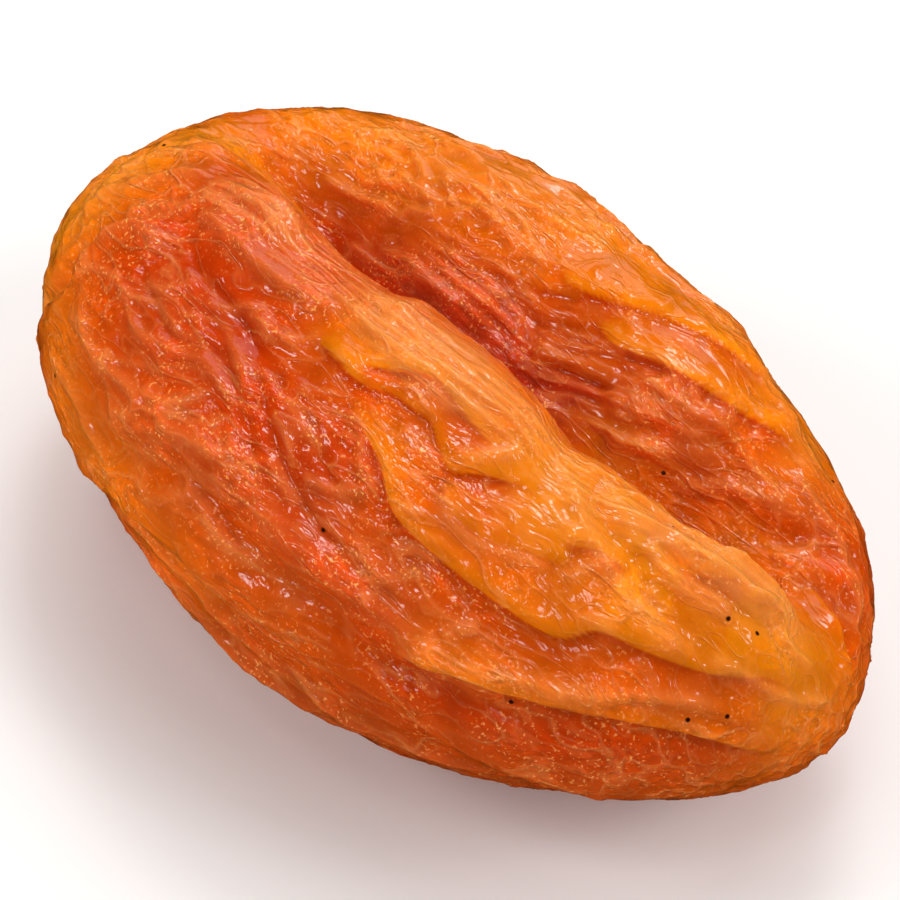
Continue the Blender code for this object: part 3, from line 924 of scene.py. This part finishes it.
    def build(self) -> bpy.types.Object:
        """Makes the fruit, with its tints as attributes.

        Returns:
            The fruit's object.
        """
        noise.seed_set(self.noise_seed)
        bm = self.grid.mesh()
        unit = self.grid.directions(bm)
        skin = self.body.surface(unit)
        self.place(bm, skin)
        normals = np.array([vert.normal for vert in bm.verts])
        relief = self.relief(skin, normals, unit)
        calm = self.belly_strength(unit, skin)[:, None]
        self.place(bm, skin + calm * (normals * relief.rise[:, None] + relief.shift))
        for tint, share in relief.tints.items():
            self.paint(bm, tint.value, np.clip(share, 0.0, 1.0))
        self.paint(bm, "across", relief.across)
        corners = list(bm.verts)
        spots = [corners[int(np.argmax(unit @ direction(np.array(at), np.array(around))))].co.copy()
                 for at, around in SPECKS]
        raised = self.press_belly(bm)
        self.specks = [spot + Vector((0.0, 0.0, raised)) for spot in spots]
        bmesh.ops.recalc_face_normals(bm, faces=bm.faces)
        mesh = bpy.data.meshes.new("apricot_skin")
        bm.to_mesh(mesh)
        bm.free()
        mesh.shade_smooth()
        fruit = bpy.data.objects.new("apricot_skin", mesh)
        bpy.context.scene.collection.objects.link(fruit)
        return fruit

    def press_belly(self, bm: bmesh.types.BMesh) -> float:
        """Cuts the belly flat where the fruit rests, and stands the fruit on the origin.

        Args:
            bm: The fruit's mesh.

        Returns:
            How far the fruit was raised, in metres.
        """
        raised = -min(vert.co.z for vert in bm.verts) - self.rest_cut * MM
        bmesh.ops.translate(bm, verts=bm.verts, vec=(0.0, 0.0, raised))
        cut = bmesh.ops.bisect_plane(bm, geom=bm.verts[:] + bm.edges[:] + bm.faces[:], dist=1e-7,
                                     plane_co=(0, 0, 0), plane_no=(0, 0, -1), clear_outer=True)
        rim = [item for item in cut["geom_cut"] if isinstance(item, bmesh.types.BMEdge)]
        bmesh.ops.contextual_create(bm, geom=rim)
        bmesh.ops.remove_doubles(bm, verts=bm.verts, dist=0.003 * MM)
        return raised

    @staticmethod
    def place(bm: bmesh.types.BMesh, points: np.ndarray) -> None:
        """Moves the mesh's corners.

        Args:
            bm: The mesh.
            points: Where each corner goes, in millimetres.
        """
        for vert, point in zip(bm.verts, points):
            vert.co = point * MM
        bm.normal_update()

    @staticmethod
    def paint(bm: bmesh.types.BMesh, name: str, share: np.ndarray) -> None:
        """Keeps one number for each corner of the mesh.

        Args:
            bm: The mesh.
            name: What the numbers are called.
            share: The numbers.
        """
        layer = bm.verts.layers.float.new(name)
        for vert, value in zip(bm.verts, share):
            vert[layer] = value


def linear(colour: str) -> tuple[float, float, float, float]:
    """Turns an sRGB hex colour to the linear values that shaders take.

    Args:
        colour: Six hex digits after a hash sign.

    Returns:
        Red, green and blue, and an alpha of one.
    """
    parts = [int(colour[i:i + 2], 16) / 255.0 for i in (1, 3, 5)]
    values = [c / 12.92 if c <= 0.04045 else ((c + 0.055) / 1.055) ** 2.4 for c in parts]
    return values[0], values[1], values[2], 1.0


def add(tree: bpy.types.NodeTree, kind: str, settings: dict | None = None,
        **links: object) -> bpy.types.Node:
    """Adds a node.

    Args:
        tree: The material's node tree.
        kind: The node's type name.
        settings: Properties of the node.
        links: Inputs by name, or by number after an underscore: a socket to link or a value.

    Returns:
        The new node.
    """
    node = tree.nodes.new(kind)
    for name, value in (settings or {}).items():
        setattr(node, name, value)
    for name, value in links.items():
        number = name[1:]
        socket = node.inputs[int(number) if number.isdigit() else name.replace("_", " ")]
        if isinstance(value, bpy.types.NodeSocket):
            tree.links.new(value, socket)
        else:
            socket.default_value = value
    return node


@dataclass(frozen=True)
class DriedFlesh:
    """Dried apricot, kept orange with sulphur: moist flesh under its own thin skin.

    The ripe fruit is pitted whole and dried until its flesh is a firm jelly.  Light
    goes a millimetre or so into it and comes out with most of its red, little green
    and no blue, so thick flesh looks red and a thin edge amber.  The skin has dried
    on to the shrinking flesh, crumpled like foil, and a film of syrup on it gives
    small, sharp highlights.  Sizes are in metres.  A pair of numbers is the range
    over which a pattern fades in, or the least and most of what it does.
    """

    name: str = "dried_apricot_flesh"
    # the flesh's colours; amber also gives painted glow, red and brown painted shade, and pale
    # painted highlights
    orange: str = "#D44800"
    amber: str = "#F08402"
    red: str = "#B41400"
    brown: str = "#A03C02"
    pale: str = "#FFA458"
    speck: str = "#2A0F06"
    # light through the flesh: how much, and how far red, green and blue go, in millimetres
    glow: float = 0.38
    glow_reach: tuple[float, float, float] = (1.6, 0.45, 0.06)
    # the flesh's own surface is dull, under a smooth film of syrup
    flesh_roughness: float = 0.3
    flesh_ior: float = 1.4
    flesh_shine: float = 0.1
    gloss: float = 0.08
    syrup_ior: float = 1.5
    # clouds of colour and patches of stronger crumpling, about 3 mm across
    cloud_size: float = 2.6 * MM
    cloud_range: tuple[float, float] = (0.3, 0.7)
    cloud_shade: tuple[float, float] = (0.8, 1.15)
    # how far lines down the fruit wander, and over what length
    bend_size: float = 3.2 * MM
    bend: float = 1.6 * MM
    # hair lines down the skin: real ones are 0.05 mm thick, drawn at 0.1 mm so that they show
    line_length: float = 7.0 * MM
    line_spacing: float = 1.7 * MM
    line_rise: float = 0.05 * MM
    line_thickness: float = 0.035
    line_patches: tuple[float, float] = (0.38, 0.5)
    fine_thickness: float = 0.05
    fine_strength: float = 0.5
    # foil-like crumpling: its real dents are about 0.15 mm wide, drawn at 0.36 mm
    foil_size: float = 0.36 * MM
    foil_stretch: float = 2.5
    foil_rise: float = 0.2 * MM
    foil_patches: tuple[float, float] = (0.42, 0.6)
    foil_least: float = 0.25
    foil_height: tuple[float, float] = (-0.2, 0.2)
    # painted shading of the crumpling: least and most of the colour's brightness
    foil_painted_shading: tuple[float, float] = (0.7, 1.35)
    # pleats along the near lip, 0.42 mm apart, which sway by a few of their spacings
    pleat_spacing: float = 0.42 * MM
    pleat_sway: float = 14.0
    pleat_range: tuple[float, float] = (-0.6, 1.0)
    # painted glints, pale dots for sugar grains that catch the light: real ones are about 0.05 mm,
    # drawn at 0.15 mm
    fleck_size: float = 0.15 * MM
    fleck_range: tuple[float, float] = (0.61, 0.71)
    fleck_patches: tuple[float, float] = (0.35, 0.6)
    fleck_least: float = 0.2
    # how pale raised skin is, partly dried sugar, partly a painted sheen: in all, on hair lines and
    # pleats, and all along the lip
    bloom_and_sheen: float = 0.26
    line_pale: float = 0.75
    lip_pale: float = 0.22
    # near-black specks, 0.15 mm across with a soft rim
    speck_spacing: float = 4.2 * MM
    speck_radius: float = 0.075 * MM
    speck_rim: float = 1.6

    def material(self, specks: list[Vector]) -> bpy.types.Material:
        """Builds the node material.

        Args:
            specks: Where on the fruit single near-black specks lie, in metres.

        Returns:
            The material.
        """
        material = bpy.data.materials.new(self.name)
        material.use_nodes = True
        material.node_tree.nodes.clear()
        FleshNodes(self, material.node_tree).build(specks)
        return material


@dataclass
class FleshNodes:
    """The nodes that draw dried flesh.

    Place is the point of the fruit in metres, and bent is that point swirled a
    little, so that patterns down the fruit wander.
    """

    look: DriedFlesh
    tree: bpy.types.NodeTree
    place: bpy.types.NodeSocket = field(init=False)
    bent: bpy.types.NodeSocket = field(init=False)

    def __post_init__(self) -> None:
        """Finds the place, and swirls it."""
        tree, look = self.tree, self.look
        self.place = add(tree, "ShaderNodeTexCoord").outputs["Object"]
        swirl = add(tree, "ShaderNodeTexNoise", Vector=self.place, Scale=1.0 / look.bend_size,
                    Detail=1.0)
        centred = add(tree, "ShaderNodeVectorMath", {"operation": "SUBTRACT"},
                      _0=swirl.outputs["Color"], _1=(0.5, 0.5, 0.5))
        self.bent = add(tree, "ShaderNodeVectorMath", {"operation": "MULTIPLY_ADD"},
                        _0=centred.outputs[0], _1=(look.bend,) * 3, _2=self.place).outputs[0]

    def build(self, specks: list[Vector]) -> None:
        """Joins the patterns to the shader.

        Args:
            specks: Where on the fruit single near-black specks lie, in metres.
        """
        tree, look = self.tree, self.look
        lines = add(tree, "ShaderNodeMath", {"operation": "MAXIMUM"}, _0=self.creases(),
                    _1=self.pleats()).outputs[0]
        foil = self.foil()
        raised = add(tree, "ShaderNodeBump", Height=lines, Strength=1.0, Distance=look.line_rise)
        skin = add(tree, "ShaderNodeBump", Height=foil, Strength=1.0, Distance=look.foil_rise,
                   Normal=raised.outputs["Normal"]).outputs["Normal"]
        shader = add(tree, "ShaderNodeBsdfPrincipled", {"subsurface_method": "RANDOM_WALK"},
                     Base_Color=self.specked(self.colour(lines, foil), specks),
                     Roughness=look.flesh_roughness, IOR=look.flesh_ior, Normal=skin,
                     Specular_IOR_Level=look.flesh_shine, Subsurface_Weight=look.glow,
                     Subsurface_Radius=look.glow_reach, Subsurface_Scale=MM, Coat_Weight=1.0,
                     Coat_Roughness=look.gloss, Coat_IOR=look.syrup_ior, Coat_Normal=skin)
        add(tree, "ShaderNodeOutputMaterial", Surface=shader.outputs["BSDF"])

    def share(self, tint: Tint) -> bpy.types.NodeSocket:
        """How strongly a tint shows."""
        return add(self.tree, "ShaderNodeAttribute", {"attribute_name": tint.value}).outputs["Fac"]

    def patches(self, span: tuple[float, float], least: float,
                detail: float = 0.0) -> bpy.types.NodeSocket:
        """Draws the soft patches in which a pattern grows stronger and weaker.

        Args:
            span: The range of the clouds over which the pattern fades in.
            least: How strong it is outside the patches.
            detail: How ragged the patches are.

        Returns:
            The pattern's strength, up to one.
        """
        cloud = add(self.tree, "ShaderNodeTexNoise", Vector=self.place,
                    Scale=1.0 / self.look.cloud_size, Detail=detail)
        return add(self.tree, "ShaderNodeMapRange", Value=cloud.outputs["Fac"], From_Min=span[0],
                   From_Max=span[1], To_Min=least, To_Max=1.0).outputs[0]

    def pleats(self) -> bpy.types.NodeSocket:
        """Draws the hair-fine pleats that run side by side along the near lip.

        Returns:
            Their height, from 0 to 1.
        """
        tree, look = self.tree, self.look
        across = add(tree, "ShaderNodeAttribute", {"attribute_name": "across"}).outputs["Fac"]
        sway = add(tree, "ShaderNodeTexNoise", Vector=self.place, Scale=1.0 / look.bend_size,
                   Detail=3.0)
        phase = add(tree, "ShaderNodeMath", {"operation": "MULTIPLY"}, _0=sway.outputs["Fac"],
                    _1=look.pleat_sway)
        turn = add(tree, "ShaderNodeMath", {"operation": "MULTIPLY_ADD"}, _0=across,
                   _1=2.0 * math.pi * MM / look.pleat_spacing, _2=phase.outputs[0])
        wave = add(tree, "ShaderNodeMath", {"operation": "SINE"}, _0=turn.outputs[0])
        crest = add(tree, "ShaderNodeMapRange", Value=wave.outputs[0],
                    From_Min=look.pleat_range[0], From_Max=look.pleat_range[1])
        return add(tree, "ShaderNodeMath", {"operation": "MULTIPLY"}, _0=crest.outputs[0],
                   _1=self.share(Tint.LIP)).outputs[0]

    def creases(self) -> bpy.types.NodeSocket:
        """Draws hair-thin raised lines down the fruit: long ones in patches, short ones all over.

        Returns:
            Their height, from 0 to 1.5.
        """
        tree, look = self.tree, self.look
        long = self.threads(look.line_length, look.line_spacing, look.line_thickness)
        short = self.threads(0.5 * look.line_length, 0.5 * look.line_spacing, look.fine_thickness)
        patchy = add(tree, "ShaderNodeMath", {"operation": "MULTIPLY"}, _0=long,
                     _1=self.patches(look.line_patches, 0.0, 1.0))
        return add(tree, "ShaderNodeMath", {"operation": "MULTIPLY_ADD"}, _0=short,
                   _1=look.fine_strength, _2=patchy.outputs[0]).outputs[0]

    def threads(self, length: float, spacing: float, thickness: float) -> bpy.types.NodeSocket:
        """Draws thin lines that wander down the fruit.

        Args:
            length: How long the lines' bends are, in metres.
            spacing: Roughly twice the distance between lines, in metres.
            thickness: Half a line's thickness, as a share of the spacing.

        Returns:
            One on the lines and zero off them.
        """
        tree = self.tree
        run = add(tree, "ShaderNodeVectorMath", {"operation": "MULTIPLY"}, _0=self.bent,
                  _1=(1.0 / length, 1.0 / spacing, 1.0 / spacing))
        wave = add(tree, "ShaderNodeTexNoise", Vector=run.outputs[0], Scale=1.0, Detail=1.0)
        off = add(tree, "ShaderNodeMath", {"operation": "SUBTRACT"}, _0=wave.outputs["Fac"], _1=0.5)
        away = add(tree, "ShaderNodeMath", {"operation": "ABSOLUTE"}, _0=off.outputs[0])
        return add(tree, "ShaderNodeMapRange", {"interpolation_type": "SMOOTHSTEP"},
                   Value=away.outputs[0], From_Min=0.0, From_Max=thickness, To_Min=1.0,
                   To_Max=0.0).outputs[0]

    def foil(self) -> bpy.types.NodeSocket:
        """Draws the skin's fine crumpling, like foil, drawn out down the fruit in patches.

        Returns:
            Its height, about zero.
        """
        tree, look = self.tree, self.look
        fine = 1.0 / look.foil_size
        drawn = add(tree, "ShaderNodeVectorMath", {"operation": "MULTIPLY"}, _0=self.bent,
                    _1=(fine / look.foil_stretch, fine, fine))
        crumple = add(tree, "ShaderNodeTexNoise", Vector=drawn.outputs[0], Scale=1.0, Detail=2.0,
                      Roughness=0.6)
        strength = add(tree, "ShaderNodeMath", {"operation": "MULTIPLY"},
                       _0=self.patches(look.foil_patches, look.foil_least),
                       _1=self.share(Tint.GRAIN))
        level = add(tree, "ShaderNodeMath", {"operation": "SUBTRACT"}, _0=crumple.outputs["Fac"],
                    _1=0.5)
        return add(tree, "ShaderNodeMath", {"operation": "MULTIPLY"}, _0=level.outputs[0],
                   _1=strength.outputs[0]).outputs[0]

    def painted_glints(self) -> bpy.types.NodeSocket:
        """Draws painted glints: tiny bright dots that stand for light caught by sugar grains, more
        of them where the skin is grainy.

        Returns:
            How strongly they show, from 0 to 1.
        """
        tree, look = self.tree, self.look
        grain = add(tree, "ShaderNodeTexNoise", Vector=self.place, Scale=1.0 / look.fleck_size,
                    Detail=1.0)
        dot = add(tree, "ShaderNodeMapRange", Value=grain.outputs["Fac"],
                  From_Min=look.fleck_range[0], From_Max=look.fleck_range[1])
        strength = add(tree, "ShaderNodeMath", {"operation": "MULTIPLY"},
                       _0=self.patches(look.fleck_patches, look.fleck_least),
                       _1=self.share(Tint.GRAIN))
        return add(tree, "ShaderNodeMath", {"operation": "MULTIPLY"}, _0=dot.outputs[0],
                   _1=strength.outputs[0]).outputs[0]

    def colour(self, lines: bpy.types.NodeSocket,
               foil: bpy.types.NodeSocket) -> bpy.types.NodeSocket:
        """Colours the flesh: orange that leans to amber, red or brown, paler where it is raised.
        Amber carries painted glow, red and brown painted shade, the crumpling painted
        shading, and the paleness of raised skin and bright dots painted highlights.

        Args:
            lines: Height of the hair lines and pleats.
            foil: Height of the crumpling.

        Returns:
            The colour.
        """
        tree, look = self.tree, self.look
        result = linear(look.orange)
        # amber, red and brown, which also carry the painted glow and painted shade
        for tint, hue in ((Tint.RED, look.red), (Tint.AMBER, look.amber), (Tint.BROWN, look.brown)):
            result = add(tree, "ShaderNodeMix", {"data_type": "RGBA"}, _0=self.share(tint),
                         _6=result, _7=linear(hue)).outputs[2]
        cloud = add(tree, "ShaderNodeTexNoise", Vector=self.place, Scale=1.0 / look.cloud_size,
                    Detail=2.0)
        shade = add(tree, "ShaderNodeMapRange", Value=cloud.outputs["Fac"],
                    From_Min=look.cloud_range[0], From_Max=look.cloud_range[1],
                    To_Min=look.cloud_shade[0], To_Max=look.cloud_shade[1])
        # painted shading: the colour darker in the crumpling's dents and lighter on its bumps
        relief = add(tree, "ShaderNodeMapRange", Value=foil,
                     From_Min=look.foil_height[0], From_Max=look.foil_height[1],
                     To_Min=look.foil_painted_shading[0], To_Max=look.foil_painted_shading[1])
        shade = add(tree, "ShaderNodeMath", {"operation": "MULTIPLY"}, _0=shade.outputs[0],
                    _1=relief.outputs[0])
        result = add(tree, "ShaderNodeVectorMath", {"operation": "SCALE"}, _0=result,
                     _3=shade.outputs[0]).outputs[0]
        # paler raised skin: partly dried sugar, partly a painted highlight
        crest = add(tree, "ShaderNodeMath", {"operation": "MULTIPLY_ADD"}, _0=lines,
                    _1=look.line_pale, _2=self.share(Tint.PALE))
        crest = add(tree, "ShaderNodeMath", {"operation": "MULTIPLY_ADD"},
                    _0=self.share(Tint.LIP), _1=look.lip_pale, _2=crest.outputs[0])
        bloom_and_sheen = add(tree, "ShaderNodeMath", {"operation": "MULTIPLY"}, _0=crest.outputs[0],
                    _1=look.bloom_and_sheen)
        # painted glints: bright dots added to the paleness
        bloom_and_sheen = add(tree, "ShaderNodeMath", {"operation": "ADD", "use_clamp": True},
                    _0=bloom_and_sheen.outputs[0], _1=self.painted_glints())
        return add(tree, "ShaderNodeMix", {"data_type": "RGBA"}, _0=bloom_and_sheen.outputs[0],
                   _6=result, _7=linear(look.pale)).outputs[2]

    def specked(self, flesh: bpy.types.NodeSocket, specks: list[Vector]) -> bpy.types.NodeSocket:
        """Lays near-black specks over the colour.

        Args:
            flesh: The colour without specks.
            specks: Where single specks lie; a few more are strewn at random.

        Returns:
            The colour with specks.
        """
        tree, look = self.tree, self.look
        strewn = add(tree, "ShaderNodeTexVoronoi", Vector=self.place,
                     Scale=1.0 / look.speck_spacing)
        off = add(tree, "ShaderNodeMath", {"operation": "MULTIPLY"}, _0=strewn.outputs["Distance"],
                  _1=look.speck_spacing).outputs[0]
        for speck in specks:
            away = add(tree, "ShaderNodeVectorMath", {"operation": "DISTANCE"}, _0=self.place,
                       _1=speck)
            off = add(tree, "ShaderNodeMath", {"operation": "MINIMUM"}, _0=off,
                      _1=away.outputs["Value"]).outputs[0]
        dark = add(tree, "ShaderNodeMapRange", Value=off, From_Min=look.speck_radius,
                   From_Max=look.speck_rim * look.speck_radius, To_Min=1.0, To_Max=0.0)
        return add(tree, "ShaderNodeMix", {"data_type": "RGBA"}, _0=dark.outputs[0],
                   _6=flesh, _7=linear(look.speck)).outputs[2]


@dataclass(frozen=True)
class WhiteBoard:
    """Matt white board for the floor: its uncoated paper face gives no reflection."""

    name: str = "matt_white_board"
    colour: str = "#F4F3F1"
    roughness: float = 0.9

    def material(self) -> bpy.types.Material:
        """Builds the node material.

        Returns:
            The material.
        """
        material = bpy.data.materials.new(self.name)
        material.use_nodes = True
        shader = material.node_tree.nodes["Principled BSDF"]
        shader.inputs["Base Color"].default_value = linear(self.colour)
        shader.inputs["Roughness"].default_value = self.roughness
        return material


@dataclass(frozen=True)
class SoftLight:
    """A square light that faces the fruit.

    Azimuth counts from the camera and elevation from the floor, in degrees.  Size
    is its side in metres and power is in watts.  Glints says whether glossy skin
    mirrors it: only the small ones are mirrored, so highlights stay sharp.
    """

    name: str
    azimuth: float
    elevation: float
    size: float
    power: float
    glints: bool = False


LIGHTS = [
    SoftLight("key_over_the_back", 165.0, 62.0, 0.45, 1.0),
    SoftLight("fill_left", -75.0, 30.0, 0.30, 0.85),
    SoftLight("fill_right", 70.0, 42.0, 0.30, 0.8),
    SoftLight("sheen_back", 172.0, 34.0, 0.34, 0.30, glints=True),
    SoftLight("glint_back", 165.0, 60.0, 0.125, 0.42, glints=True),
    SoftLight("glint_left", -85.0, 45.0, 0.09, 0.21, glints=True),
    SoftLight("glint_front", -20.0, 70.0, 0.075, 0.11, glints=True),
    SoftLight("glint_right", 70.0, 45.0, 0.09, 0.20, glints=True),
]


@dataclass
class Studio:
    """A pale floor, soft lights and the camera, with lengths in metres and angles in degrees."""

    azimuth: float = 44.5
    elevation: float = 50.0
    lens: float = 120.0
    distance: float = 0.1243
    target: tuple[float, float, float] = (0.0, 0.0, 0.0091)
    side_step: float = 0.00037
    drop: float = 0.00037
    light_distance: float = 0.5
    floor_size: float = 1.2
    air_strength: float = 0.30

    @staticmethod
    def toward(azimuth: float, elevation: float) -> Vector:
        """The direction out to a place round the fruit, in degrees from its near side."""
        a, e = math.radians(azimuth), math.radians(elevation)
        return Vector((math.sin(a) * math.cos(e), -math.cos(a) * math.cos(e), math.sin(e)))

    def camera(self) -> None:
        """Places the camera at the viewing angle."""
        back = self.toward(self.azimuth, self.elevation)
        a = math.radians(self.azimuth)
        right = Vector((math.cos(a), math.sin(a), 0.0))
        data = bpy.data.cameras.new("camera")
        data.lens = self.lens
        data.sensor_width = 36.0
        data.clip_start = 0.01
        data.dof.use_dof = False
        camera = bpy.data.objects.new("camera", data)
        middle = Vector(self.target) + right * self.side_step - back.cross(right) * self.drop
        camera.location = middle + back * self.distance
        camera.rotation_euler = back.to_track_quat("Z", "Y").to_euler()
        bpy.context.scene.collection.objects.link(camera)
        bpy.context.scene.camera = camera

    def hang(self, soft: SoftLight) -> None:
        """Hangs a light.

        Args:
            soft: The light's place, size and power.
        """
        back = self.toward(self.azimuth + soft.azimuth, soft.elevation)
        data = bpy.data.lights.new(soft.name, "AREA")
        data.size = soft.size
        data.energy = soft.power
        light = bpy.data.objects.new(soft.name, data)
        light.location = Vector(self.target) + back * self.light_distance
        light.visible_glossy = soft.glints
        light.rotation_euler = back.to_track_quat("Z", "Y").to_euler()
        bpy.context.scene.collection.objects.link(light)

    def floor(self) -> None:
        """Lays the pale floor, which glossy skin doesn't mirror."""
        bm = bmesh.new()
        bmesh.ops.create_grid(bm, x_segments=1, y_segments=1, size=self.floor_size / 2)
        mesh = bpy.data.meshes.new("floor")
        bm.to_mesh(mesh)
        bm.free()
        mesh.materials.append(WhiteBoard().material())
        floor = bpy.data.objects.new("floor", mesh)
        floor.visible_glossy = False
        bpy.context.scene.collection.objects.link(floor)

    def air(self) -> None:
        """Fills the room with pale light from all round."""
        world = bpy.data.worlds.new("studio")
        world.use_nodes = True
        background = world.node_tree.nodes["Background"]
        background.inputs["Color"].default_value = linear("#FFFFFF")
        background.inputs["Strength"].default_value = self.air_strength
        world.cycles_visibility.glossy = False
        bpy.context.scene.world = world
        bpy.context.scene.view_settings.view_transform = "Standard"

    def build(self) -> None:
        """Sets up the whole studio."""
        self.floor()
        self.air()
        for soft in LIGHTS:
            self.hang(soft)
        self.camera()


def main() -> None:
    """Builds the fruit and its studio."""
    logging.basicConfig(level=logging.INFO)
    maker = Fruit()
    fruit = maker.build()
    fruit.data.materials.append(DriedFlesh().material(maker.specks))
    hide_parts("apricot")
    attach(fruit, "root")
    LOG.info("%s: %d faces", fruit.name, len(fruit.data.polygons))
    Studio().build()
    LOG.info("studio: floor, %d lights and camera", len(LIGHTS))


if __name__ == "__main__":
    main()
